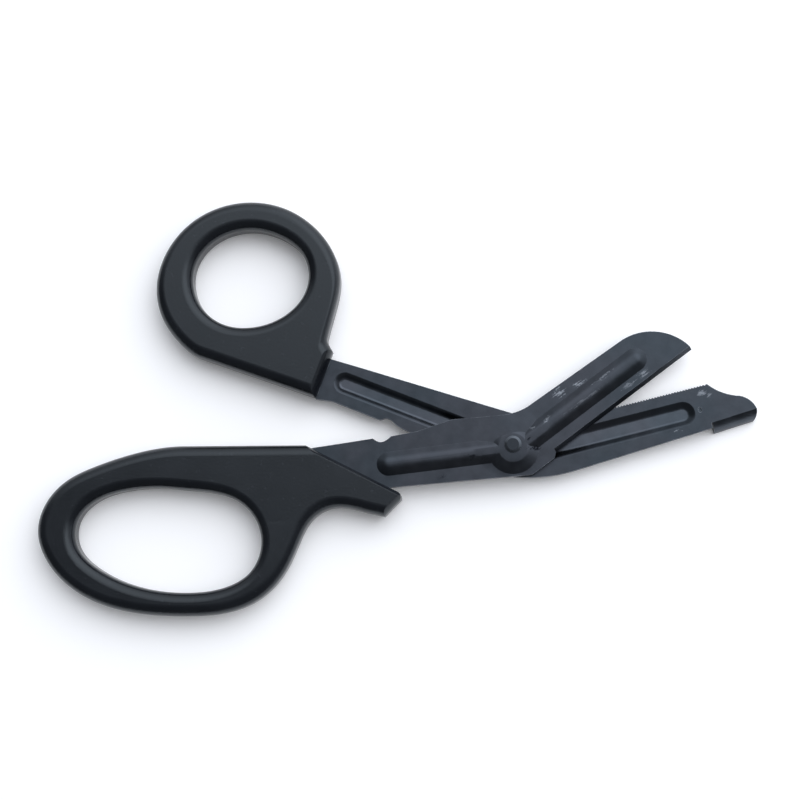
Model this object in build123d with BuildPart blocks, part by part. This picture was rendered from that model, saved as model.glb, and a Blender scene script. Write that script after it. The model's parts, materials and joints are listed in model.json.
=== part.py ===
from build123d import *
from math import asin, atan2, cos, radians, sin, sqrt, tan
import os

# Bandage scissors lying half open on a table, in millimetres
# Z is up, X runs along the scissors to the blade tips, the origin is under the middle of the whole object
# Two stamped steel halves turn on one rivet, and each half has a moulded plastic loop on its tang

# Place of the rivet, and the directions of the blades and tangs in plan, in degrees from X
pivot_x = 30.64
pivot_y = -10.92
upper_blade_angle = 36.9
upper_tang_angle = 5.1
lower_blade_angle = 13.9
lower_tang_angle = -16.7

# Stamped sheet steel and the running gap between the two blades
sheet = 1.8
blade_gap = 0.06
raised = 1.3
edge_land = 0.3

# Rivet
rivet_radius = 1.6
pivot_play = 0.05
rivet_head_radius = 2.2
rivet_head_height = 0.5
rivet_head_chamfer = 0.32
rivet_head_flat = 1.56

# Upper half: plain blade in front, its tang goes into the finger loop
upper_reach = 52.05
upper_nose_radius = 14.1
upper_back = 4.65
upper_edge = 8.16
upper_heel = 9.2
upper_bevel = 0.95
upper_bend_radius = 14.5
upper_heel_radius = 2.2
upper_heel_set = 0.66
upper_heel_step = 7.7
upper_heel_run = 1.23
upper_tang_reach = 52.0
upper_tang_width = 16.0
shoulder_radius = 7.0
upper_anchor_radius = 1.6

# Lower half: serrated blade behind with a blunt foot, its tang goes into the thumb loop
lower_reach = 63.2
lower_edge = 3.2
lower_spine = 10.2
lower_bevel = 1.5
tooth_pitch = 0.75
tooth_depth = 0.32
serration_start = 14.0
nose_length = 10.8
lower_tang_reach = 52.0
lower_tang_top = 8.35
lower_anchor_radius = 1.2
foot_length = 11.9
foot_slit = 0.35
foot_break_angle = 25.0
dimple_gap = 0.95
dimple_width = 0.9
dimple_height = 1.4
dimple_depth = 0.4

# Raised forms stamped into both halves: half widths at the foot, and at the top of the flank
upper_pad_radius = 6.8
upper_pad_top = 3.6
upper_pad_drop = 0.85
ramp_radius = 8.8
ramp_top = 1.1
ramp_shift = 0.9
ramp_rise = 2.6
ramp_ease = 11.0
upper_bead_radius = 3.2
upper_tang_bead_radius = 3.2
upper_bead_top = 1.05
upper_bead_stop = 13.5
upper_tang_bead_stop = 19.5
upper_bead_drop = 1.5
upper_tang_bead_drop = 1.85
lower_pad_radius = 6.5
lower_pad_top = 4.71
lower_pad_drop = 0.9
lower_channel_radius = 3.15
lower_channel_top = 1.6
lower_channel_stop = 18.7
lower_channel_drop = 2.9
lower_tang_channel_radius = 2.65
lower_tang_channel_top = 1.4
lower_tang_channel_stop = 5.1
lower_tang_channel_rise = 3.5
lower_tang_channel_drop = 0.6
crest_radius = 2.9
foot_rounding = 0.9
floor_radius = 0.9
rim_radius = 1.6
full_crest_share = 0.95
form_sink = 0.03

# Moulded grips
grip_thickness = 8.4
outer_rounding = 2.9
hole_rounding = 2.6
finger_setback = 39.38
finger_drop = 13.73
finger_loop_length = 68.8
finger_loop_height = 44.2
finger_hole_drop = 2.5
finger_hole_length = 49.1
finger_hole_height = 27.1
spur_radius = 1.6
spur_lean = 1.3
finger_front_lean = 0.95
thumb_setback = 27.53
thumb_rise = 22.7
thumb_loop_length = 49.2
thumb_loop_height = 42.4
thumb_hole_shift = 0.65
thumb_hole_rise = 0.3
thumb_hole_length = 31.0
thumb_hole_height = 26.5
thumb_front_lean = 1.9
front_bulge_share = 0.12

# Places that follow from the sizes; a cutter reaches one grip thickness past what it cuts
overrun = grip_thickness
foot_start = lower_reach - foot_length
serration_end = lower_reach - nose_length
lower_channel_end = lower_reach - lower_channel_stop
lower_tang_channel_end = lower_tang_reach - lower_tang_channel_stop
upper_bead_end = upper_reach - upper_bead_stop
upper_tang_bead_end = upper_tang_reach - upper_tang_bead_stop
middle = grip_thickness / 2
upper_face = middle + blade_gap / 2
lower_face = middle - blade_gap / 2


def turned(x, y, angle):
    """A place given along and across a blade or tang, as a place beside the rivet."""
    return Vector(x, y).rotate(Axis.Z, angle)


def along(points, length, width, angle):
    """Outline points given as shares of a length and a width, in one direction."""
    return [turned(x * length, y * width, angle) for x, y in points]


def level(height):
    return Plane(origin=(pivot_x, pivot_y, height))


def round_corner(drawing, place, radius):
    fillet(drawing.vertices().sort_by_distance(place)[0], radius)


def half_section(width, top, inset, crest, foot):
    """Half of a raised form cut across, set in by a thickness: rounded foot, flank and rounded crest."""
    slope = atan2(raised, width - top)
    bend = tan(slope / 2)
    low_x = width - inset * bend
    high_x = top - inset * bend
    foot_run = foot * bend
    crest_run = min(crest * bend, high_x * full_crest_share)
    rounding = crest_run / bend
    foot_low = (low_x + foot_run, 0)
    foot_high = (low_x - foot_run * cos(slope), foot_run * sin(slope))
    crest_low = (high_x + crest_run * cos(slope), raised - crest_run * sin(slope))
    crest_high = (high_x - crest_run, raised)
    if foot > 0:
        foot_way = (foot_low[0] - foot * sin(slope / 2), foot - foot * cos(slope / 2))
        ThreePointArc(foot_low, foot_way, foot_high)
    Line(foot_high, crest_low)
    if crest > 0:
        crest_way = (crest_high[0] + rounding * sin(slope / 2), raised - rounding + rounding * cos(slope / 2))
        ThreePointArc(crest_low, crest_way, crest_high)
    Polyline(crest_high, (0, raised), (0, 0), foot_low)


def bead(start, end, base, section):
    """A long raised form with round ends, standing on a level."""
    reach = end - start
    ahead = reach.normalized()
    aside = ahead.rotate(Axis.Z, 90)
    start_place = Vector(pivot_x + start.X, pivot_y + start.Y, base)
    end_place = start_place + reach
    with BuildPart() as form:
        with BuildSketch(Plane(origin=start_place, x_dir=aside, z_dir=ahead)):
            with BuildLine():
                half_section(*section)
            make_face()
            mirror(about=Plane.YZ)
        extrude(amount=reach.length)
        with BuildSketch(Plane(origin=start_place, x_dir=aside, z_dir=ahead)):
            with BuildLine():
                half_section(*section)
            make_face()
        revolve(axis=Axis(start_place, (0, 0, 1)), revolution_arc=180)
        with BuildSketch(Plane(origin=end_place, x_dir=-aside, z_dir=-ahead)):
            with BuildLine():
                half_section(*section)
            make_face()
        revolve(axis=Axis(end_place, (0, 0, 1)), revolution_arc=180)
    return form.part


def pad(place, base, section):
    """Round raised ground that the rivet sits on."""
    centre = Vector(pivot_x + place.X, pivot_y + place.Y, base)
    with BuildPart() as form:
        with BuildSketch(Plane(origin=centre, x_dir=(1, 0, 0), z_dir=(0, -1, 0))):
            with BuildLine():
                half_section(*section)
            make_face()
        revolve(axis=Axis(centre, (0, 0, 1)))
    return form.part


upper_pad_place = Vector(0, -upper_pad_drop)
ramp_place = Vector(-ramp_shift, ramp_rise)
lower_pad_place = Vector(0, -lower_pad_drop)


def sunk(base):
    """Levels just under a face, so that each form crosses it and the forms before it cleanly."""
    return [base - form_sink * (count + 1) for count in range(4)]


def upper_forms(base, inset, crest, foot):
    """Pad, tang bead, blade bead and long soft ramp of the upper half."""
    first, second, third, fourth = sunk(base)
    tang_start = turned(-upper_tang_bead_end, -upper_tang_bead_drop, upper_tang_angle)
    tang_end = turned(0, -upper_tang_bead_drop / 2, upper_tang_angle)
    blade_start = turned(0, -upper_bead_drop, upper_blade_angle)
    blade_end = turned(upper_bead_end, -upper_bead_drop, upper_blade_angle)
    ramp_section = (ramp_radius, ramp_top, inset, crest + ramp_ease, foot + ramp_ease)
    return [
        pad(upper_pad_place, first, (upper_pad_radius, upper_pad_top, inset, crest, foot)),
        bead(tang_start, tang_end, second, (upper_tang_bead_radius, upper_bead_top, inset, crest, foot)),
        bead(blade_start, blade_end, third, (upper_bead_radius, upper_bead_top, inset, crest, foot)),
        pad(ramp_place, fourth, ramp_section),
    ]


def lower_forms(base, inset, crest, foot):
    """Pad, tang channel and blade channel of the lower half, still pointing up."""
    first, second, third, _ = sunk(base)
    tang_start = turned(-lower_tang_channel_end, lower_tang_channel_rise, lower_tang_angle)
    tang_end = turned(0, -lower_tang_channel_drop, lower_tang_angle)
    blade_start = turned(0, -lower_channel_drop, lower_blade_angle)
    blade_end = turned(lower_channel_end, -lower_channel_drop, lower_blade_angle)
    tang_section = (lower_tang_channel_radius, lower_tang_channel_top, inset, crest, foot)
    blade_section = (lower_channel_radius, lower_channel_top, inset, crest, foot)
    return [
        pad(lower_pad_place, first, (lower_pad_radius, lower_pad_top, inset, crest, foot)),
        bead(tang_start, tang_end, second, tang_section),
        bead(blade_start, blade_end, third, blade_section),
    ]


# Rivet, a shank with a flat-topped head at each end
rivet_seat = upper_face + sheet + raised - form_sink
rear_seat = lower_face - sheet - raised + form_sink
with BuildPart() as pivot_rivet:
    with BuildSketch(Plane(origin=(pivot_x, pivot_y, 0), x_dir=(1, 0, 0), z_dir=(0, -1, 0))):
        with BuildLine():
            Polyline(
                (0, rear_seat - rivet_head_height),
                (rivet_head_flat, rear_seat - rivet_head_height),
                (rivet_head_radius, rear_seat - rivet_head_height + rivet_head_chamfer),
                (rivet_head_radius, rear_seat - pivot_play),
                (rivet_radius, rear_seat - pivot_play),
                (rivet_radius, rivet_seat),
                (rivet_head_radius, rivet_seat),
                (rivet_head_radius, rivet_seat + rivet_head_height - rivet_head_chamfer),
                (rivet_head_flat, rivet_seat + rivet_head_height),
                (0, rivet_seat + rivet_head_height),
                close=True,
            )
        make_face()
    revolve(axis=Axis((pivot_x, pivot_y, 0), (0, 0, 1)))
pivot_rivet.part.label = "pivot_rivet"

# Upper half in plan: the blade runs to its tip, the tang runs back into the finger grip
nose_middle = sqrt(upper_nose_radius**2 - (upper_back - upper_nose_radius + upper_edge) ** 2)
nose_start = upper_reach - nose_middle
tip = turned(upper_reach, -upper_edge, upper_blade_angle)
nose_top = turned(nose_start, upper_back, upper_blade_angle)
nose_turn = asin(nose_middle / upper_nose_radius) / 2
nose_way = turned(
    nose_start + upper_nose_radius * sin(nose_turn),
    upper_back - upper_nose_radius + upper_nose_radius * cos(nose_turn),
    upper_blade_angle,
)
tang_half = upper_tang_width / 2
bend_shares = [(0.036, 0.987)]
upper_bend = along(bend_shares, upper_tang_reach, tang_half, upper_tang_angle)[0]
shoulder_shares = [(-0.290, 1.015), (-0.470, 0.732)]
shoulder = along(shoulder_shares, upper_tang_reach, tang_half, upper_tang_angle)
notch_shares = [(-0.600, 0.657), (-0.620, 0.570), (-0.652, 0.500), (-0.676, 0.550), (-0.692, 0.640)]
upper_notch = along(notch_shares, upper_tang_reach, tang_half, upper_tang_angle)
tongue_shares = [
    (-1.000, 0.524), (-1.190, 0.450), (-1.230, 0.200), (-1.230, -0.400),
    (-1.190, -0.640), (-0.930, -0.640), (-0.820, -0.995),
]
upper_tongue = along(tongue_shares, upper_tang_reach, tang_half, upper_tang_angle)
heel_corner = turned(-upper_heel_set, -upper_heel, upper_blade_angle)
step_start = turned(upper_heel_step - upper_heel_run, -upper_heel, upper_blade_angle)
step_end = turned(upper_heel_step, -upper_edge, upper_blade_angle)
upper_anchor_shares = [(-1.12, -0.12)]
upper_anchor = along(upper_anchor_shares, upper_tang_reach, tang_half, upper_tang_angle)

upper_raised = upper_forms(upper_face + sheet, 0, crest_radius, foot_rounding)
upper_hollow = upper_forms(upper_face, sheet, crest_radius - sheet, 0)
with BuildPart() as upper_blade:
    with BuildSketch(level(upper_face)) as upper_plan:
        with BuildLine():
            ThreePointArc(tip, nose_way, nose_top)
            Polyline(nose_top, upper_bend, *shoulder, upper_notch[0])
            Spline(*upper_notch)
            Polyline(upper_notch[-1], *upper_tongue, heel_corner, step_start, step_end, tip)
        make_face()
        round_corner(upper_plan, upper_bend, upper_bend_radius)
        round_corner(upper_plan, shoulder[0], shoulder_radius)
        round_corner(upper_plan, shoulder[1], shoulder_radius)
        round_corner(upper_plan, heel_corner, upper_heel_radius)
    extrude(amount=sheet)
    for form in upper_raised:
        add(form)
    extrude(upper_plan.sketch, amount=sheet + raised, both=True, mode=Mode.INTERSECT)
    for form in upper_hollow:
        add(form, mode=Mode.SUBTRACT)
    with BuildSketch(level(upper_face)):
        Circle(rivet_radius)
        with Locations(*upper_anchor):
            Circle(upper_anchor_radius)
    extrude(amount=sheet + raised, mode=Mode.SUBTRACT)
    # Ground bevel on the outer side of the cutting edge
    edge_way = turned(upper_heel_step, 0, upper_blade_angle)
    with BuildSketch(
        Plane(
            origin=(pivot_x + edge_way.X, pivot_y + edge_way.Y, upper_face),
            x_dir=turned(0, 1, upper_blade_angle),
            z_dir=turned(1, 0, upper_blade_angle),
        )
    ):
        with BuildLine():
            Polyline(
                (-upper_edge, edge_land),
                (-upper_edge + upper_bevel, sheet),
                (-upper_edge + upper_bevel, sheet + overrun),
                (-upper_edge - overrun, sheet + overrun),
                (-upper_edge - overrun, edge_land),
                close=True,
            )
        make_face()
    extrude(amount=upper_reach, mode=Mode.SUBTRACT)
upper_blade.part.label = "upper_blade"


def nose_points(shares):
    """Points of the lower nose, as shares of its length from the tip and of the spine's width."""
    return [turned(lower_reach + x * nose_length, y * lower_spine, lower_blade_angle) for x, y in shares]


# Lower half in plan
tooth_count = round((serration_end - serration_start) / tooth_pitch)
teeth = []
for index in range(tooth_count):
    crown = serration_start + index * tooth_pitch
    teeth.append(turned(crown, lower_edge, lower_blade_angle))
    teeth.append(turned(crown + tooth_pitch / 2, lower_edge - tooth_depth, lower_blade_angle))
teeth.append(turned(serration_end, lower_edge, lower_blade_angle))
lower_nose_shares = [
    (-0.971, 0.290), (-0.696, 0.010), (-0.304, -0.189), (-0.094, -0.370), (0.000, -0.603),
]
nose_hollow = nose_points(lower_nose_shares)
crease_shares = [(1.000, -0.676)]
slit_shares = [(1.000, -0.676), (1.000, -0.812)]
heel_shares = [(0.290, -1.000), (0.127, -0.974), (-0.034, -0.778)]
crease_start = along(crease_shares, foot_start, lower_spine, lower_blade_angle)[0]
crease_end = nose_hollow[-1]
slit = along(slit_shares, foot_start - foot_slit, lower_spine, lower_blade_angle)
spine_start, heel_way, heel_end = along(heel_shares, foot_start, lower_spine, lower_blade_angle)
top_corner_shares = [(0.145, 0.955)]
lower_top_corner = along(top_corner_shares, lower_tang_reach, lower_tang_top, lower_tang_angle)[0]
lower_notch_shares = [
    (-0.545, -0.470), (-0.566, -0.440), (-0.592, -0.396), (-0.612, -0.325),
    (-0.632, -0.285), (-0.652, -0.290), (-0.667, -0.350), (-0.685, -0.385),
]
lower_notch = along(lower_notch_shares, lower_tang_reach, lower_tang_top, lower_tang_angle)
lower_tongue_shares = [
    (-0.934, -0.242), (-1.021, -0.320), (-1.016, 0.100), (-1.260, 0.100), (-1.260, 0.640),
    (-1.010, 0.640), (-1.006, 1.035), (-0.851, 1.029),
]
lower_tongue = along(lower_tongue_shares, lower_tang_reach, lower_tang_top, lower_tang_angle)
lower_anchor_shares = [(-1.13, 0.37)]
lower_anchor = along(lower_anchor_shares, lower_tang_reach, lower_tang_top, lower_tang_angle)

# Blunt foot, the spine at the nose rolled down to the table
foot_drop = lower_face
foot_radius = foot_drop / cos(radians(foot_break_angle))
foot_middle = -foot_radius * sin(radians(foot_break_angle))
foot_inner = foot_radius - sheet
foot_run = crease_end - crease_start
foot_way = foot_run.normalized()
with BuildPart() as foot:
    with BuildSketch(
        Plane(
            origin=(pivot_x + crease_start.X, pivot_y + crease_start.Y, lower_face),
            x_dir=foot_way.rotate(Axis.Z, -90),
            z_dir=foot_way,
        )
    ):
        turn = radians(90 - foot_break_angle)
        with BuildLine():
            Line((-sheet, 0), (0, 0))
            ThreePointArc(
                (0, 0),
                (foot_middle + foot_radius * cos(turn / 2), foot_drop - foot_radius * sin(turn / 2)),
                (foot_middle + foot_radius, foot_drop),
            )
            Line((foot_middle + foot_radius, foot_drop), (foot_middle + foot_inner, foot_drop))
            inner_turn = (foot_drop - sheet) / foot_inner
            inner_x = foot_middle + foot_inner * sqrt(1 - inner_turn**2)
            half_turn = inner_turn / 2
            ThreePointArc(
                (foot_middle + foot_inner, foot_drop),
                (foot_middle + foot_inner * sqrt(1 - half_turn**2), foot_drop - foot_inner * half_turn),
                (inner_x, sheet),
            )
            Polyline((inner_x, sheet), (-sheet, sheet), (-sheet, 0))
        make_face()
    extrude(amount=foot_run.length + overrun)
    foot_back_shares = [(1.000, -0.100), (1.000, -1.500)]
    foot_back = along(foot_back_shares, foot_start - sheet, lower_spine, lower_blade_angle)
    foot_end_shares = [(-0.351, -1.500), (-0.199, -0.943), (-0.041, -0.785)]
    foot_end = nose_points(foot_end_shares)
    with BuildSketch(level(0)):
        with BuildLine():
            Polyline(crease_end, nose_hollow[3], *foot_back, *foot_end[:2])
            ThreePointArc(foot_end[1], foot_end[2], crease_end)
        make_face()
    extrude(amount=grip_thickness, mode=Mode.INTERSECT)

lower_raised = lower_forms(upper_face + sheet, -sheet, floor_radius + sheet, 0)
lower_hollow = lower_forms(upper_face, 0, floor_radius, rim_radius)
mating = Plane.XY.offset(middle)
with BuildPart() as lower_blade:
    with BuildSketch(level(lower_face - sheet)) as lower_plan:
        with BuildLine():
            Polyline(lower_top_corner, *teeth, nose_hollow[0])
            ThreePointArc(nose_hollow[0], nose_hollow[1], nose_hollow[2])
            ThreePointArc(nose_hollow[2], nose_hollow[3], nose_hollow[4])
            Polyline(crease_end, crease_start, *slit, spine_start)
            ThreePointArc(spine_start, heel_way, heel_end)
            Line(heel_end, lower_notch[0])
            Spline(*lower_notch)
            Polyline(lower_notch[-1], *lower_tongue, lower_top_corner)
        make_face()
    extrude(amount=sheet)
    for form in lower_raised:
        add(mirror(form, about=mating, mode=Mode.PRIVATE))
    extrude(lower_plan.sketch, amount=sheet + raised, both=True, mode=Mode.INTERSECT)
    for form in lower_hollow:
        add(mirror(form, about=mating, mode=Mode.PRIVATE), mode=Mode.SUBTRACT)
    with BuildSketch(level(lower_face)):
        Circle(rivet_radius + pivot_play)
        with Locations(*lower_anchor):
            Circle(lower_anchor_radius)
    extrude(amount=-sheet - raised, mode=Mode.SUBTRACT)
    edge_way = turned(serration_start, 0, lower_blade_angle)
    with BuildSketch(
        Plane(
            origin=(pivot_x + edge_way.X, pivot_y + edge_way.Y, lower_face),
            x_dir=turned(0, 1, lower_blade_angle),
            z_dir=turned(1, 0, lower_blade_angle),
        )
    ):
        with BuildLine():
            Polyline(
                (lower_edge, -edge_land),
                (lower_edge - lower_bevel, -sheet),
                (lower_edge - lower_bevel, -sheet - overrun),
                (lower_edge + overrun, -sheet - overrun),
                (lower_edge + overrun, -edge_land),
                close=True,
            )
        make_face()
    extrude(amount=serration_end - serration_start, mode=Mode.SUBTRACT)
    add(foot.part)
    dimple_reach = lower_channel_end + lower_channel_radius + dimple_gap + dimple_width / 2
    with BuildSketch(level(lower_face)):
        with Locations(turned(dimple_reach, -lower_channel_drop, lower_blade_angle)):
            Ellipse(dimple_width / 2, dimple_height / 2, rotation=lower_blade_angle)
    extrude(amount=-dimple_depth, mode=Mode.SUBTRACT)
lower_blade.part.label = "lower_blade"


def loop_points(shares, centre, length, height):
    """Points of a loop as shares of its half length and half height."""
    return [centre + Vector(x * length / 2, y * height / 2) for x, y in shares]


def smooth(places, first_way, last_way):
    """A smooth curve through places that leaves and arrives in set directions."""
    return Spline(*places, tangents=(first_way, last_way), tangent_scalars=(1, 1))


def rim_edges(form, side, places):
    """Edges round one face of a grip, without the ones at the places where it is trimmed later."""
    rim = form.faces().sort_by(Axis.Z)[side].edges()
    for place in places:
        rim = rim.sort_by_distance(Vector(pivot_x + place.X, pivot_y + place.Y, rim[0].center().Z))[1:]
    return rim


def front_cutter(start, way, reach, lean, low, high):
    """Cuts a grip back along a line: upright from low to high, with rounded edges above and below."""
    bulge_x = lean / 2 - (grip_thickness - high) * front_bulge_share
    bulge_z = (grip_thickness - high) / 2 + lean * front_bulge_share
    low_x = lean / 2 - low * front_bulge_share
    low_z = low / 2 - lean * front_bulge_share
    place = Vector(pivot_x + start.X, pivot_y + start.Y, 0)
    with BuildPart() as cutter:
        with BuildSketch(Plane(origin=place, x_dir=way.rotate(Axis.Z, 90), z_dir=way)):
            with BuildLine():
                ThreePointArc((-lean, 0), (-low_x, low_z), (0, low))
                if high > low:
                    Line((0, low), (0, high))
                ThreePointArc((0, high), (-bulge_x, high + bulge_z), (-lean, grip_thickness))
                Polyline(
                    (-lean, grip_thickness),
                    (-lean, grip_thickness + overrun),
                    (reach, grip_thickness + overrun),
                    (reach, -overrun),
                    (-lean, -overrun),
                    (-lean, 0),
                )
            make_face()
        extrude(amount=reach, both=True)
    return cutter.part


# Finger grip: a long oval loop with a spur under the tang
finger_outline_shares = [
    (0.112, 1.000), (-0.218, 0.936), (-0.569, 0.766), (-0.810, 0.574), (-0.965, 0.269),
    (-1.000, -0.026), (-0.946, -0.296), (-0.770, -0.624), (-0.532, -0.840), (-0.180, -0.974),
    (0.138, -1.001), (0.454, -0.961), (0.701, -0.806), (0.885, -0.513), (1.000, -0.143),
    (1.089, 0.108), (1.236, 0.249), (1.349, 0.258), (1.500, 0.204),
]
finger_hole_shares = [
    (0.061, 0.987), (0.407, 0.926), (0.737, 0.749), (0.941, 0.369), (1.000, -0.066),
    (0.892, -0.598), (0.595, -0.915), (0.253, -1.000), (-0.273, -0.900), (-0.733, -0.550),
    (-0.974, -0.096), (-0.982, 0.347), (-0.802, 0.734), (-0.448, 0.959),
]
finger_front_shares = [(1.900, 0.060), (1.900, 1.000)]
finger_trim_shares = [
    (0.969, 1.055), (1.799, 0.398), (1.538, -0.013), (2.200, -0.013), (2.200, 1.400), (0.969, 1.400),
]
finger_centre = turned(-upper_tang_reach - finger_setback, -finger_drop, upper_tang_angle)
finger_size = (finger_centre, finger_loop_length, finger_loop_height)
finger_outline = loop_points(finger_outline_shares, *finger_size)
finger_front = loop_points(finger_front_shares, *finger_size)
finger_trim = loop_points(finger_trim_shares, *finger_size)
finger_hole_centre = finger_centre - Vector(0, finger_hole_drop)
finger_hole = loop_points(finger_hole_shares, finger_hole_centre, finger_hole_length, finger_hole_height)
finger_start_way = (-1, 0)
finger_end_way = (0.965, -0.26)
front_run = finger_trim[1] - finger_trim[0]
spur_run = finger_trim[2] - finger_trim[1]
front_way = front_run.normalized()
upper_top = upper_face + sheet
finger_front_cutter = front_cutter(
    finger_trim[0], front_way, front_run.length, finger_front_lean, upper_face, upper_top
)
spur_cutter = front_cutter(
    finger_trim[1], spur_run.normalized(), spur_run.length, spur_lean, middle, middle
)
with BuildPart() as finger_grip:
    with BuildSketch(level(0)):
        with BuildLine():
            smooth(finger_outline, finger_start_way, finger_end_way)
            Polyline(finger_outline[-1], *finger_front, finger_outline[0])
        make_face()
    extrude(amount=grip_thickness)
    for side in (0, -1):
        closing = (finger_front[0] + finger_front[1]) / 2
        fillet(rim_edges(finger_grip, side, [closing]), outer_rounding)
    with BuildSketch(level(0)):
        with BuildLine():
            Spline(*finger_hole, periodic=True)
        make_face()
    extrude(amount=grip_thickness, mode=Mode.SUBTRACT)
    hole_rims = [
        edge
        for edge in finger_grip.edges()
        if edge.geom_type == GeomType.BSPLINE and edge.is_closed
    ]
    fillet(hole_rims, hole_rounding)
    with BuildSketch(level(0)) as trim_plan:
        with BuildLine():
            Polyline(*finger_trim, close=True)
        make_face()
        round_corner(trim_plan, finger_trim[1], spur_radius)
    extrude(amount=grip_thickness, mode=Mode.SUBTRACT)
    for cutter in (finger_front_cutter, spur_cutter):
        add(cutter, mode=Mode.SUBTRACT)
    add(upper_blade.part, mode=Mode.SUBTRACT)
finger_grip.part.label = "finger_grip"

# Thumb grip: a round loop, its front end drafted where the tang comes out
thumb_outline_shares = [
    (-0.512, -0.985), (-0.753, -0.776), (-0.914, -0.514), (-0.994, -0.215), (-0.986, 0.079),
    (-0.895, 0.377), (-0.697, 0.682), (-0.376, 0.916), (0.003, 0.998), (0.380, 0.916),
    (0.693, 0.687), (0.910, 0.360), (0.998, 0.000), (0.958, -0.341), (0.865, -0.762),
]
thumb_hole_shares = [
    (-0.997, -0.053), (-0.890, 0.460), (-0.542, 0.845), (-0.006, 0.998), (0.542, 0.823),
    (0.903, 0.453), (1.000, 0.008), (0.890, -0.415), (0.548, -0.800), (-0.013, -1.000),
    (-0.477, -0.917), (-0.839, -0.581),
]
thumb_front_shares = [(0.918, -0.925), (0.934, -1.042), (1.140, -1.042), (1.140, -1.662)]
thumb_centre = turned(-lower_tang_reach - thumb_setback, thumb_rise, lower_tang_angle)
thumb_size = (thumb_centre, thumb_loop_length, thumb_loop_height)
thumb_outline = loop_points(thumb_outline_shares, *thumb_size)
thumb_front = loop_points(thumb_front_shares, *thumb_size)
thumb_closing = [(thumb_front[1] + thumb_front[2]) / 2, (thumb_front[2] + thumb_front[3]) / 2]
thumb_hole_centre = thumb_centre + Vector(thumb_hole_shift, thumb_hole_rise)
thumb_hole = loop_points(thumb_hole_shares, thumb_hole_centre, thumb_hole_length, thumb_hole_height)
thumb_start_way = (-0.94, 0.34)
thumb_neck_way = (-0.2, -0.98)
thumb_end_way = (0.1, -0.995)
tang_front_shares = [(-1.021, -0.320), (-1.006, 1.035)]
front_low, front_high = along(tang_front_shares, lower_tang_reach, lower_tang_top, lower_tang_angle)
thumb_front_way = (front_low - front_high).normalized()
thumb_front_cutter = front_cutter(
    front_low, thumb_front_way, thumb_loop_height / 2, thumb_front_lean, middle, middle
)
with BuildPart() as thumb_grip:
    with BuildSketch(level(0)):
        with BuildLine():
            smooth(thumb_outline, thumb_start_way, thumb_neck_way)
            smooth([thumb_outline[-1], *thumb_front[:2]], thumb_neck_way, thumb_end_way)
            Polyline(*thumb_front[1:], thumb_outline[0])
        make_face()
    extrude(amount=grip_thickness)
    for side in (0, -1):
        fillet(rim_edges(thumb_grip, side, thumb_closing), outer_rounding)
    with BuildSketch(level(0)):
        with BuildLine():
            Spline(*thumb_hole, periodic=True)
        make_face()
    extrude(amount=grip_thickness, mode=Mode.SUBTRACT)
    hole_rims = [
        edge
        for edge in thumb_grip.edges()
        if edge.geom_type == GeomType.BSPLINE and edge.is_closed
    ]
    fillet(hole_rims, hole_rounding)
    add(thumb_front_cutter, mode=Mode.SUBTRACT)
    add(lower_blade.part, mode=Mode.SUBTRACT)
thumb_grip.part.label = "thumb_grip"

os.makedirs("parts", exist_ok=True)
export_step(pivot_rivet.part, "parts/pivot_rivet.step")
export_step(upper_blade.part, "parts/upper_blade.step")
export_step(lower_blade.part, "parts/lower_blade.step")
export_step(finger_grip.part, "parts/finger_grip.step")
export_step(thumb_grip.part, "parts/thumb_grip.step")
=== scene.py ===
# %% [markdown]
# # Bandage scissors with a blackened finish
# These shears cut dressings and clothing off a patient. Two stamped steel halves turn on one rivet, and
# each ends in a moulded plastic grip. The shapes come from the solids of the part, which this lesson
# loads as a fixed frame. What is left to do here is to give each surface the finish of the real one, to
# light it so that its forms read as in the photograph, and to look at it from where the photograph did.

# %% Load the frame
import bpy
import json
from math import pi, radians
from mathutils import Matrix, Vector

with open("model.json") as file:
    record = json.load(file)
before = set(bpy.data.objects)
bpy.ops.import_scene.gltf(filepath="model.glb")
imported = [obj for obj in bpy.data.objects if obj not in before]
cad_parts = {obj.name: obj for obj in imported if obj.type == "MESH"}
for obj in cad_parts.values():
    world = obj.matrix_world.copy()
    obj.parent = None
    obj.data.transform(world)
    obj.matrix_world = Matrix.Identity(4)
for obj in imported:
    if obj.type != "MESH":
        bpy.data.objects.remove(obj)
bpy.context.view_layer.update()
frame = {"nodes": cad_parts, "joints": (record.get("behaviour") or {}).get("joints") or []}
mm = 0.001
nodes = frame["nodes"]

# %% [markdown]
# ## Three small helpers for the finishes
# A finish is a tree of shader nodes. Colours are given as sRGB hex values, but shaders work on
# linear light, so one function turns the one into the other. A second function adds a node of any kind,
# sets it up and joins it to the nodes before it. The third opens an empty finish under its name. With
# these, each finish below reads from top to bottom like a recipe.

# %% Colours from hex values, one function that adds a node, and one that opens a finish
def linear(hex_value):
    parts = [int(hex_value[i:i + 2], 16) / 255 for i in (1, 3, 5)]
    return tuple(p / 12.92 if p <= 0.04045 else ((p + 0.055) / 1.055) ** 2.4 for p in parts) + (1.0,)


def add(tree, kind, inputs=None, **settings):
    node = tree.nodes.new(kind)
    for name, value in settings.items():
        setattr(node, name, value)
    for name, value in (inputs or {}).items():
        if isinstance(value, bpy.types.NodeSocket):
            tree.links.new(value, node.inputs[name])
        else:
            node.inputs[name].default_value = value
    return node


def new_finish(name):
    finish = bpy.data.materials.new(name)
    finish.use_nodes = True
    finish.node_tree.nodes.clear()
    return finish, finish.node_tree


print("middle grey in linear light:", [round(c, 3) for c in linear("#808080")])

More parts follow.
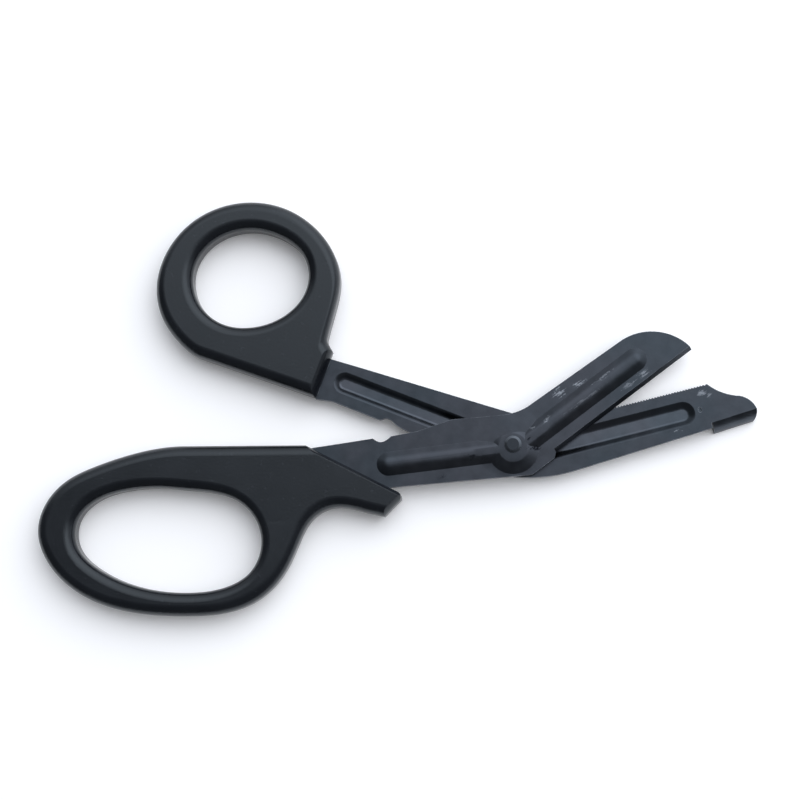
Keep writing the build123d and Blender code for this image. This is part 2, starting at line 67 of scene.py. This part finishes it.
# %% [markdown]
# ## Scuffs and specks
# The blackened skin on the blades is thin, and cutting has rubbed it through to a greyer, shinier steel in
# a few places: along the shoulder of the bead, behind the cutting edge and near the nose of the lower
# blade. Each scuff is an ellipse at its own place on the part. One noise tears its outline, and a second
# one, combed along the blade, breaks it into fine scratches, so that it looks rubbed and not printed. It
# shows only on the side that faces up, where the photograph shows it. The same function draws a few dark
# specks near the pivot.

# %% A mask of rubbed places, from a list of ellipses
along_blade = radians(36.9)       # the slope of the upper blade on the table
tear_size = 0.5 * mm
scratch_width = 0.35 * mm
scratch_stretch = 9.0             # a scratch is this many times as long as it is wide
scratches_over_tears = 1.3        # how much more the scratches count than the torn outline
tearing = 2.2                     # how deep both of them eat into an ellipse
rubbed_through, untouched = 2.55, 3.15


def rubbed(tree, place, ellipses):
    ragged = add(tree, "ShaderNodeTexNoise", {
        "Vector": place, "Scale": 1 / tear_size, "Detail": 4.0, "Roughness": 0.65})
    combed = add(tree, "ShaderNodeMapping", {
        "Vector": place, "Rotation": (0, 0, along_blade), "Scale": (scratch_stretch, 1.0, 1.0)},
        vector_type="TEXTURE")
    scratches = add(tree, "ShaderNodeTexNoise", {
        "Vector": combed.outputs["Vector"], "Scale": 1 / scratch_width, "Detail": 2.0})
    torn = add(tree, "ShaderNodeMath", {
        0: scratches.outputs["Fac"], 1: scratches_over_tears, 2: ragged.outputs["Fac"]},
        operation="MULTIPLY_ADD")
    mask = None
    for x, y, half_length, half_width, turn, strength in ellipses:
        local = add(tree, "ShaderNodeMapping", {
            "Vector": place, "Location": (x * mm, y * mm, 0), "Rotation": (0, 0, radians(turn)),
            "Scale": (half_length * mm, half_width * mm, 1)}, vector_type="TEXTURE")
        reach = add(tree, "ShaderNodeVectorMath", {0: local.outputs["Vector"]}, operation="LENGTH")
        broken = add(tree, "ShaderNodeMath", {
            0: torn.outputs[0], 1: tearing, 2: reach.outputs["Value"]}, operation="MULTIPLY_ADD")
        spot = add(tree, "ShaderNodeMapRange", {
            "Value": broken.outputs[0], "From Min": rubbed_through, "From Max": untouched,
            "To Min": strength, "To Max": 0.0})
        mask = spot if mask is None else add(tree, "ShaderNodeMath", {
            0: mask.outputs[0], 1: spot.outputs[0]}, operation="MAXIMUM")
    facing = add(tree, "ShaderNodeNewGeometry").outputs["Normal"]
    upright = add(tree, "ShaderNodeSeparateXYZ", {"Vector": facing}).outputs["Z"]
    upward = add(tree, "ShaderNodeMapRange", {"Value": upright, "From Min": 0.2, "From Max": 0.6})
    on_top = add(tree, "ShaderNodeMath", {0: mask.outputs[0], 1: upward.outputs[0]}, operation="MULTIPLY")
    return on_top.outputs[0]


# Each row is x, y, half length and half width in mm, the turn in degrees, and the strength. The noise
# eats deep into an ellipse: what is left of it is about a third as long and wide.
scuffs = [
    (42.6, 2.7, 1.9, 1.5, 40, 0.9),
    (47.8, 4.9, 2.4, 0.8, 32, 1.0),
    (39.4, -4.6, 1.6, 0.7, 45, 0.8),
    (35.6, -6.6, 1.0, 0.5, 20, 0.6),
    (54.3, 6.6, 5.0, 0.6, 36, 0.55),
    (60.6, 4.4, 3.4, 0.9, 38, 0.45),
    (64.4, 7.5, 2.2, 1.1, 35, 0.6),
    (79.6, 2.4, 1.6, 1.0, 15, 0.6),
    (81.4, 1.8, 1.0, 0.8, 30, 0.45),
    (73.2, -7.4, 1.0, 0.4, 15, 1.0),
    (50.0, 1.2, 8.0, 0.6, 37, 0.3),
]
specks = [
    (34.7, -9.5, 0.9, 0.5, 60, 0.9),
    (36.3, -11.9, 2.2, 1.1, -10, 1.0),
    (20.1, -13.9, 1.2, 0.9, 0, 0.8),
    (12.4, -19.0, 1.8, 0.8, 20, 0.6),
]
print("scuffs:", len(scuffs), "specks:", len(specks))

# %% [markdown]
# ## Blackened stainless steel
# The blades are pressed from 1.8 mm sheet and blackened in a bath, which leaves a thin dark oxide on
# bead-blasted metal. It reflects like metal, dark and soft, so what the eye reads is the light above and
# the gloom at the sides. The bath never takes evenly: the colour drifts between two blue greys over some
# 15 mm, with smaller clouds in it. Low down, where the channels of the lower blade lie, the colour is
# painted up to 1.4 times lighter. This is painted light that lifts the shade in the channels. A picture of
# real metal could do the drift too, but it would bring its own light along. Noise at the right sizes
# doesn't.

# %% Colour of the blackened skin, with painted light in the channels
cool_oxide, warm_oxide = "#3f454b", "#44474d"
drift_size = 15 * mm
usual_noise = {"From Min": 0.3, "From Max": 0.7}      # a noise texture seldom leaves this range
channel_floor, sheet_top = 3.0 * mm, 4.0 * mm         # heights above the table, on the lower blade
# Painted light: below 3 mm the colour is made this many times lighter, fading out by 4 mm, to lift the
# shade in the channels
painted_channel_light = 1.4


def oxide_colour_and_channel_light(tree, place, cloud):
    drift = add(tree, "ShaderNodeTexNoise", {"Vector": place, "Scale": 1 / drift_size, "Detail": 2.0})
    bath = add(tree, "ShaderNodeMapRange", {
        "Value": drift.outputs["Fac"], "From Min": 0.35, "From Max": 0.65})
    skin = add(tree, "ShaderNodeMix", {
        "Factor": bath.outputs[0], "A": linear(cool_oxide), "B": linear(warm_oxide)}, data_type="RGBA")
    shade = add(tree, "ShaderNodeMapRange", {"Value": cloud, **usual_noise, "To Min": 0.86, "To Max": 1.12})
    toned = add(tree, "ShaderNodeMix", {
        "Factor": 1.0, "A": skin.outputs["Result"], "B": shade.outputs[0]},
        data_type="RGBA", blend_type="MULTIPLY")
    height = add(tree, "ShaderNodeSeparateXYZ", {"Vector": place}).outputs["Z"]
    depth = add(tree, "ShaderNodeMapRange", {
        "Value": height, "From Min": channel_floor, "From Max": sheet_top,
        "To Min": painted_channel_light, "To Max": 1.0})
    # The painted light in the channels is multiplied in here
    with_channel_light = add(tree, "ShaderNodeMix", {
        "Factor": 1.0, "A": toned.outputs["Result"], "B": depth.outputs[0]},
        data_type="RGBA", blend_type="MULTIPLY")
    return with_channel_light.outputs["Result"]


print("skin drifts from", cool_oxide, "to", warm_oxide, "over", round(drift_size / mm), "mm")

# %% [markdown]
# ## Bared edges, partly painted highlight
# Handling takes the black off sharp edges first, in patches. The same lighter line is also a painted
# highlight, for the thin light that the edges catch. Painting such wear by hand would be slow, and the
# Bevel node finds the edges by itself: it gives the normal that the surface would have if its edges were
# rounded. Where that turns away from the true normal there is an edge, and the cloud noise breaks the
# line into patches.

# %% A mask of the bared edges, which is partly painted highlight
edge_width = 0.25 * mm


def bared_and_highlit_edges(tree, facing, cloud):
    rounded = add(tree, "ShaderNodeBevel", {"Radius": edge_width}, samples=6)
    turned = add(tree, "ShaderNodeVectorMath", {
        0: rounded.outputs["Normal"], 1: facing}, operation="DOT_PRODUCT")
    # The edge line is bared steel and painted highlight at once
    edge = add(tree, "ShaderNodeMapRange", {
        "Value": turned.outputs["Value"], "From Min": 0.75, "From Max": 0.97,
        "To Min": 0.9, "To Max": 0.0})
    patchy = add(tree, "ShaderNodeMapRange", {"Value": cloud, "From Min": 0.32, "From Max": 0.55})
    bared = add(tree, "ShaderNodeMath", {0: edge.outputs[0], 1: patchy.outputs[0]}, operation="MULTIPLY")
    return bared.outputs[0]


print("bared edges are", edge_width / mm, "mm wide")

# %% [markdown]
# ## Shading round the ramp
# On the real blade the pad round the rivet runs into its ramp with no edge to be seen. The solid has a
# slight crease there, and a solid's shape is left alone here. So the shading is eased instead: near the
# top of the ramp, where a face is nearly level, the normal is turned most of the way to that of a low
# dome, which leans up to 5 degrees to the lower edge.

# %% A normal that is eased round the top of the ramp
too_steep, level_enough = 0.965, 0.98                 # upward part of the normal, at 15 and 11 degrees
most_eased = 0.85
eased_within, untouched_from = 9.5 * mm, 11.0 * mm    # distances from the top of the ramp
full_lean, lean_starts = 9.0 * mm, 1.0 * mm           # how far towards the lower edge
lean_most = -0.08


def eased_normal(tree, place, facing, ramp_top):
    upright = add(tree, "ShaderNodeSeparateXYZ", {"Vector": facing}).outputs["Z"]
    near_level = add(tree, "ShaderNodeMapRange", {
        "Value": upright, "From Min": too_steep, "From Max": level_enough,
        "To Min": 0.0, "To Max": most_eased})
    from_ramp = add(tree, "ShaderNodeVectorMath", {0: place, 1: ramp_top}, operation="DISTANCE")
    on_ramp = add(tree, "ShaderNodeMapRange", {
        "Value": from_ramp.outputs["Value"], "From Min": eased_within, "From Max": untouched_from,
        "To Min": 1.0, "To Max": 0.0})
    ease = add(tree, "ShaderNodeMath", {
        0: near_level.outputs[0], 1: on_ramp.outputs[0]}, operation="MULTIPLY")
    across = add(tree, "ShaderNodeSeparateXYZ", {"Vector": place}).outputs["Y"]
    lean = add(tree, "ShaderNodeMapRange", {
        "Value": across, "From Min": ramp_top.y - full_lean, "From Max": ramp_top.y - lean_starts,
        "To Min": lean_most, "To Max": 0.0})
    dome = add(tree, "ShaderNodeCombineXYZ", {"X": 0.0, "Y": lean.outputs[0], "Z": 1.0})
    eased = add(tree, "ShaderNodeMix", {
        "Factor": ease.outputs[0], "A": facing, "B": dome.outputs["Vector"]}, data_type="VECTOR")
    unit = add(tree, "ShaderNodeVectorMath", {0: eased.outputs["Result"]}, operation="NORMALIZE")
    return unit.outputs["Vector"]


pivot = Vector(frame["joints"][0]["pos_m"])
ramp_top = pivot + Vector((-0.9, 2.6, 2.0)) * mm
print("top of the ramp, in mm:", [round(c / mm, 2) for c in ramp_top])

# %% [markdown]
# ## The finish of the blades
# Here the skin, the wear and the shading come together. Bared steel is lighter than the skin, and a
# little smoother. On the edges the same colour is also a painted highlight. The blasted grain goes in as
# bump. It is about 0.1 mm on the real blades, too fine for this picture, so it is drawn at 0.7 mm.

# %% Finish for the blades
# The bared colour also paints the highlight along the edges
bared_steel_and_highlight, dark_speck = "#8b9097", "#15171c"
cloud_size = 3.5 * mm
grain_size, grain_depth = 0.7 * mm, 0.03 * mm


def blackened_steel(ramp_top):
    finish, tree = new_finish("blackened_stainless_steel")
    place = add(tree, "ShaderNodeTexCoord").outputs["Object"]
    facing = add(tree, "ShaderNodeNewGeometry").outputs["Normal"]
    cloud = add(tree, "ShaderNodeTexNoise", {
        "Vector": place, "Scale": 1 / cloud_size, "Detail": 4.0}).outputs["Fac"]
    grain = add(tree, "ShaderNodeTexNoise", {"Vector": place, "Scale": 1 / grain_size, "Detail": 2.0})
    # Scuffs, bared edges and the painted highlight on the edges, together
    wear_and_edge_highlight = add(tree, "ShaderNodeMath", {
        0: rubbed(tree, place, scuffs), 1: bared_and_highlit_edges(tree, facing, cloud)},
        operation="MAXIMUM").outputs[0]
    colour = add(tree, "ShaderNodeMix", {
        "Factor": wear_and_edge_highlight, "A": oxide_colour_and_channel_light(tree, place, cloud), "B": linear(bared_steel_and_highlight)},
        data_type="RGBA")
    spotted = add(tree, "ShaderNodeMix", {
        "Factor": rubbed(tree, place, specks), "A": colour.outputs["Result"], "B": linear(dark_speck)},
        data_type="RGBA")
    dull = add(tree, "ShaderNodeMapRange", {"Value": cloud, **usual_noise, "To Min": 0.32, "To Max": 0.40})
    rough = add(tree, "ShaderNodeMath", {0: wear_and_edge_highlight, 1: -0.1, 2: dull.outputs[0]}, operation="MULTIPLY_ADD")
    relief = add(tree, "ShaderNodeBump", {
        "Height": grain.outputs["Fac"], "Strength": 0.35, "Distance": grain_depth,
        "Normal": eased_normal(tree, place, facing, ramp_top)})
    shader = add(tree, "ShaderNodeBsdfPrincipled", {
        "Base Color": spotted.outputs["Result"], "Metallic": 1.0, "Roughness": rough.outputs[0],
        "Normal": relief.outputs["Normal"]})
    add(tree, "ShaderNodeOutputMaterial", {"Surface": shader.outputs["BSDF"]})
    return finish


blade_finish = blackened_steel(ramp_top)
print(blade_finish.name, len(blade_finish.node_tree.nodes), "nodes")

# %% [markdown]
# ## The rivet
# The rivet is turned steel, blackened with the blades and then peened, so its flat heads are a little
# lighter and smoother than the sheet round them, with faint turning rings about 0.4 mm apart. The chamfer
# round each head, and every face that leans away from level, is painted lighter. This is a painted
# highlight for the thin arc of light it catches. The rings come from a wave texture, which has to be
# centred on the rivet first.

# %% Finish for the rivet
# The polished rim colour is a painted highlight on the chamfer round each head
head_dark, head_light, painted_rim_highlight = "#33373c", "#3a3e43", "#6d737a"
ring_spacing, ring_depth = 0.4 * mm, 0.02 * mm
wave_at_scale_one = pi / 10       # the width of one ring where the texture's scale is 1
head_cloud_size = 1.2 * mm


def peened_steel(centre):
    finish, tree = new_finish("peened_rivet_steel")
    place = add(tree, "ShaderNodeTexCoord").outputs["Object"]
    centred = add(tree, "ShaderNodeMapping", {"Vector": place, "Location": (-centre.x, -centre.y, 0)})
    rings = add(tree, "ShaderNodeTexWave", {
        "Vector": centred.outputs["Vector"], "Scale": wave_at_scale_one / ring_spacing,
        "Distortion": 0.6, "Detail": 2.0}, wave_type="RINGS", rings_direction="Z")
    cloud = add(tree, "ShaderNodeTexNoise", {
        "Vector": place, "Scale": 1 / head_cloud_size, "Detail": 3.0}).outputs["Fac"]
    colour = add(tree, "ShaderNodeMix", {
        "Factor": cloud, "A": linear(head_dark), "B": linear(head_light)}, data_type="RGBA")
    facing = add(tree, "ShaderNodeNewGeometry").outputs["Normal"]
    upright = add(tree, "ShaderNodeSeparateXYZ", {"Vector": facing}).outputs["Z"]
    # Painted highlight: up to half way to the rim colour where the face leans away from level
    highlight_rim_mask = add(tree, "ShaderNodeMapRange", {
        "Value": upright, "From Min": 0.9, "From Max": 0.97, "To Min": 0.5, "To Max": 0.0})
    rim_highlighted = add(tree, "ShaderNodeMix", {
        "Factor": highlight_rim_mask.outputs[0], "A": colour.outputs["Result"], "B": linear(painted_rim_highlight)},
        data_type="RGBA")
    rough = add(tree, "ShaderNodeMapRange", {"Value": cloud, "To Min": 0.3, "To Max": 0.45})
    relief = add(tree, "ShaderNodeBump", {
        "Height": rings.outputs["Fac"], "Strength": 0.3, "Distance": ring_depth})
    shader = add(tree, "ShaderNodeBsdfPrincipled", {
        "Base Color": rim_highlighted.outputs["Result"], "Metallic": 1.0, "Roughness": rough.outputs[0],
        "Normal": relief.outputs["Normal"]})
    add(tree, "ShaderNodeOutputMaterial", {"Surface": shader.outputs["BSDF"]})
    return finish


rivet_finish = peened_steel(pivot)
print(rivet_finish.name, "centred on", [round(c / mm, 2) for c in pivot])

# %% [markdown]
# ## Moulded black plastic
# The grips are polypropylene moulded round the steel tangs. The mould was spark eroded, which prints a
# fine even pebble on the skin: half matt, blue black, with no grain direction, and with a few paler specks
# of dust. The two halves of the mould met at mid thickness, and the hairline that they left runs round
# the sides. One short scratch crosses the neck of the finger grip, as a shallow groove. All of this is
# too shallow to model, so it is bump. The pebble is near 0.15 mm, drawn here at 0.6 mm so that it shows.

# %% Finish for the grips
deep_black, soft_black, dust_grey = "#0b0d12", "#111318", "#2a2d33"
cool_shine = "#eef9ff"
tone_size, pebble_size, dust_size = 9 * mm, 0.6 * mm, 0.9 * mm
hairline, hairline_fade = 0.04 * mm, 0.16 * mm        # half widths of the parting line
hairline_height, scratch_depth = 2.0, 12.0            # times the height of the pebble
pebble_depth = 0.05 * mm
neck_scratch = [(-30.1, -30.6, 3.4, 0.9, 7, 1.0)]     # a row as in the scuffs


def moulded_plastic(middle):
    finish, tree = new_finish("moulded_black_polypropylene")
    place = add(tree, "ShaderNodeTexCoord").outputs["Object"]
    cloud = add(tree, "ShaderNodeTexNoise", {
        "Vector": place, "Scale": 1 / tone_size, "Detail": 3.0}).outputs["Fac"]
    pebble = add(tree, "ShaderNodeTexNoise", {"Vector": place, "Scale": 1 / pebble_size, "Detail": 3.0})
    dust = add(tree, "ShaderNodeTexNoise", {"Vector": place, "Scale": 1 / dust_size, "Detail": 1.0})
    tone = add(tree, "ShaderNodeMapRange", {"Value": cloud, **usual_noise})
    base = add(tree, "ShaderNodeMix", {
        "Factor": tone.outputs[0], "A": linear(deep_black), "B": linear(soft_black)}, data_type="RGBA")
    dusty = add(tree, "ShaderNodeMapRange", {
        "Value": dust.outputs["Fac"], "From Min": 0.68, "From Max": 0.76, "To Min": 0.0, "To Max": 0.35})
    colour = add(tree, "ShaderNodeMix", {
        "Factor": dusty.outputs[0], "A": base.outputs["Result"], "B": linear(dust_grey)},
        data_type="RGBA")
    height = add(tree, "ShaderNodeSeparateXYZ", {"Vector": place}).outputs["Z"]
    over_middle = add(tree, "ShaderNodeMath", {0: height, 1: middle}, operation="SUBTRACT")
    off_middle = add(tree, "ShaderNodeMath", {0: over_middle.outputs[0]}, operation="ABSOLUTE")
    parting = add(tree, "ShaderNodeMapRange", {
        "Value": off_middle.outputs[0], "From Min": hairline, "From Max": hairline_fade,
        "To Min": 1.0, "To Max": 0.0})
    skin = add(tree, "ShaderNodeMath", {
        0: parting.outputs[0], 1: hairline_height, 2: pebble.outputs["Fac"]}, operation="MULTIPLY_ADD")
    marked = add(tree, "ShaderNodeMath", {
        0: rubbed(tree, place, neck_scratch), 1: -scratch_depth, 2: skin.outputs[0]},
        operation="MULTIPLY_ADD")
    relief = add(tree, "ShaderNodeBump", {
        "Height": marked.outputs[0], "Strength": 0.3, "Distance": pebble_depth})
    rough = add(tree, "ShaderNodeMapRange", {"Value": cloud, **usual_noise, "To Min": 0.19, "To Max": 0.27})
    shader = add(tree, "ShaderNodeBsdfPrincipled", {
        "Base Color": colour.outputs["Result"], "Metallic": 0.0, "Roughness": rough.outputs[0],
        "IOR": 1.49, "Specular Tint": linear(cool_shine), "Normal": relief.outputs["Normal"]})
    add(tree, "ShaderNodeOutputMaterial", {"Surface": shader.outputs["BSDF"]})
    return finish


grip_finish = moulded_plastic(pivot.z)
print(grip_finish.name, "parting line at", round(pivot.z / mm, 2), "mm")

# %% [markdown]
# ## Dress the nodes
# Both blades come from the same bath and both grips from the same plastic, so three finishes dress all
# five pieces. Each node has its slots already, and only what is in them changes.

# %% Give each node its finish
finishes = {
    "upper_blade": blade_finish, "lower_blade": blade_finish, "pivot_rivet": rivet_finish,
    "finger_grip": grip_finish, "thumb_grip": grip_finish}
for name, finish in finishes.items():
    for slot in nodes[name].material_slots:
        slot.material = finish
    print(name, "->", finish.name)

# %% [markdown]
# ## The table
# Behind the scissors the photograph is plain white. Here they lie on a white table, and a single large
# plane is enough for it, a hair under the part. White paint under this light comes out a light grey, so
# the paint has a small glow that only the camera and mirror reflections see. It brings the table up to
# white and puts no light on the part. The soft shadow stays.

# %% Table top
white_paint = "#fdfdfe"
table_size = 12
table_gap = 0.05 * mm
table_glow = 0.1

bpy.ops.object.select_all(action="DESELECT")
bpy.ops.mesh.primitive_plane_add(size=table_size, location=(0, 0, -table_gap))
floor = bpy.context.object
floor.name = "table_top"
table_finish, tree = new_finish("white_table")
paint = add(tree, "ShaderNodeBsdfPrincipled", {"Base Color": linear(white_paint), "Roughness": 0.7})
light_path = add(tree, "ShaderNodeLightPath")
seen = add(tree, "ShaderNodeMath", {
    0: light_path.outputs["Is Camera Ray"], 1: light_path.outputs["Is Glossy Ray"]}, operation="MAXIMUM")
lift = add(tree, "ShaderNodeMath", {0: seen.outputs[0], 1: table_glow}, operation="MULTIPLY")
glow = add(tree, "ShaderNodeEmission", {"Color": linear(white_paint), "Strength": lift.outputs[0]})
both = add(tree, "ShaderNodeAddShader", {0: paint.outputs["BSDF"], 1: glow.outputs["Emission"]})
add(tree, "ShaderNodeOutputMaterial", {"Surface": both.outputs["Shader"]})
floor.data.materials.append(table_finish)
print("table size in m:", [round(d, 2) for d in floor.dimensions])

# %% [markdown]
# ## The lamp
# The photograph is cut out on plain white and shows no shadow. Without one the scissors would seem to
# float, so a large lamp, high up at the back and to the right, gives them a wide soft shadow on the table.
# A lamp as large as this would also lie on the dark metal as one flat sheen, so it isn't itself
# reflected.

# %% Overhead lamp
lamp_place = Vector((0.85, 0.5, 0.95))
lamp_size = 2.2
lamp_watts = 13.0

lamp_data = bpy.data.lights.new("overhead_softbox", "AREA")
lamp_data.shape = "SQUARE"
lamp_data.size = lamp_size
lamp_data.energy = lamp_watts
lamp = bpy.data.objects.new("overhead_softbox", lamp_data)
towards_part = (-lamp_place).to_track_quat("-Z", "Y").to_matrix().to_4x4()
lamp.matrix_world = Matrix.Translation(lamp_place) @ towards_part
lamp.visible_glossy = False
bpy.context.scene.collection.objects.link(lamp)
print("lamp at", [round(c, 2) for c in lamp_place], "m")

# %% [markdown]
# ## The room
# Dark metal shows what is round it more than its own colour. In the photograph the flat faces are light,
# most of all at the blade tips and on the thumb ring. The faces that lean to the lower edge are nearly
# black, and those that lean up or out are in between. So the room has one broad soft patch of light
# overhead. It climbs from the viewer's side to the back, and a little from left to right, and fades again
# towards the walls. All reflections come from this room. A direction in it is a vector of length one: its
# X points to the right, its Y to the back, and near the ceiling both are small.

# %% The room's patch of light
room_tint = "#f0f4fb"
rightward = 0.35                               # the light climbs this much to the right for each step back
climb_starts, climb_ends = -0.02, 0.25
dimmest, brightest = 0.42, 1.85
patch_centre = (0.15, 0.35, 0.0)
patch_reach, patch_ends = 0.4, 0.8
wall_level = 0.4
right_starts, right_ends = 0.03, 0.16
right_gain = 1.25

room = bpy.data.worlds.new("dim_room")
room.use_nodes = True
room.node_tree.nodes.clear()
tree = room.node_tree
way = add(tree, "ShaderNodeTexCoord").outputs["Generated"]
side = add(tree, "ShaderNodeSeparateXYZ", {"Vector": way})
aslant = add(tree, "ShaderNodeMath", {
    0: side.outputs["X"], 1: rightward, 2: side.outputs["Y"]}, operation="MULTIPLY_ADD")
climb = add(tree, "ShaderNodeMapRange", {
    "Value": aslant.outputs[0], "From Min": climb_starts, "From Max": climb_ends,
    "To Min": dimmest, "To Max": brightest})
flat_way = add(tree, "ShaderNodeVectorMath", {0: way, 1: (1.0, 1.0, 0.0)}, operation="MULTIPLY")
off_light = add(tree, "ShaderNodeVectorMath", {
    0: flat_way.outputs["Vector"], 1: patch_centre}, operation="DISTANCE")
fade = add(tree, "ShaderNodeMapRange", {
    "Value": off_light.outputs["Value"], "From Min": patch_reach, "From Max": patch_ends,
    "To Min": 1.0, "To Max": wall_level}, interpolation_type="SMOOTHSTEP")
brighter = add(tree, "ShaderNodeMapRange", {
    "Value": side.outputs["X"], "From Min": right_starts, "From Max": right_ends,
    "To Min": 1.0, "To Max": right_gain})
patch = add(tree, "ShaderNodeMath", {0: climb.outputs[0], 1: fade.outputs[0]}, operation="MULTIPLY")
glow = add(tree, "ShaderNodeMath", {0: patch.outputs[0], 1: brighter.outputs[0]}, operation="MULTIPLY")
in_view = add(tree, "ShaderNodeMath", {
    0: add(tree, "ShaderNodeLightPath").outputs["Is Camera Ray"], 1: glow.outputs[0]}, operation="MAXIMUM")
sky = add(tree, "ShaderNodeBackground", {"Color": linear(room_tint), "Strength": in_view.outputs[0]})
add(tree, "ShaderNodeOutputWorld", {"Surface": sky.outputs["Background"]})
bpy.context.scene.world = room
print("room light from", round(dimmest * wall_level, 2), "to", round(brightest * right_gain, 2))

# %% [markdown]
# ## Camera
# The photograph was taken from almost straight above, about 0.4 m away. The grips and the blade tips show
# that the lens stood a little towards the lower right of the picture. The place and the lens below come
# from matching the outlines of the part with the photograph.

# %% Camera at the photograph's viewpoint
eye = Vector((27.143, -55.621, 399.281)) * mm
aim = Vector((1.265, 1.310, 4.2)) * mm
lens_mm, sensor_mm = 68.70, 36
nearest_seen = 10 * mm

ahead = (aim - eye).normalized()
right = ahead.cross(Vector((0, 1, 0))).normalized()
up = right.cross(ahead)
camera_data = bpy.data.cameras.new("photo_camera")
camera_data.sensor_width = sensor_mm
camera_data.lens = lens_mm
camera_data.clip_start = nearest_seen
camera = bpy.data.objects.new("photo_camera", camera_data)
camera.matrix_world = Matrix.Translation(eye) @ Matrix((right, up, -ahead)).transposed().to_4x4()
bpy.context.scene.collection.objects.link(camera)
bpy.context.scene.camera = camera
bpy.context.scene.view_settings.view_transform = "Standard"
print("camera tilt in degrees:", round(ahead.angle(Vector((0, 0, -1))) * 180 / pi, 2))
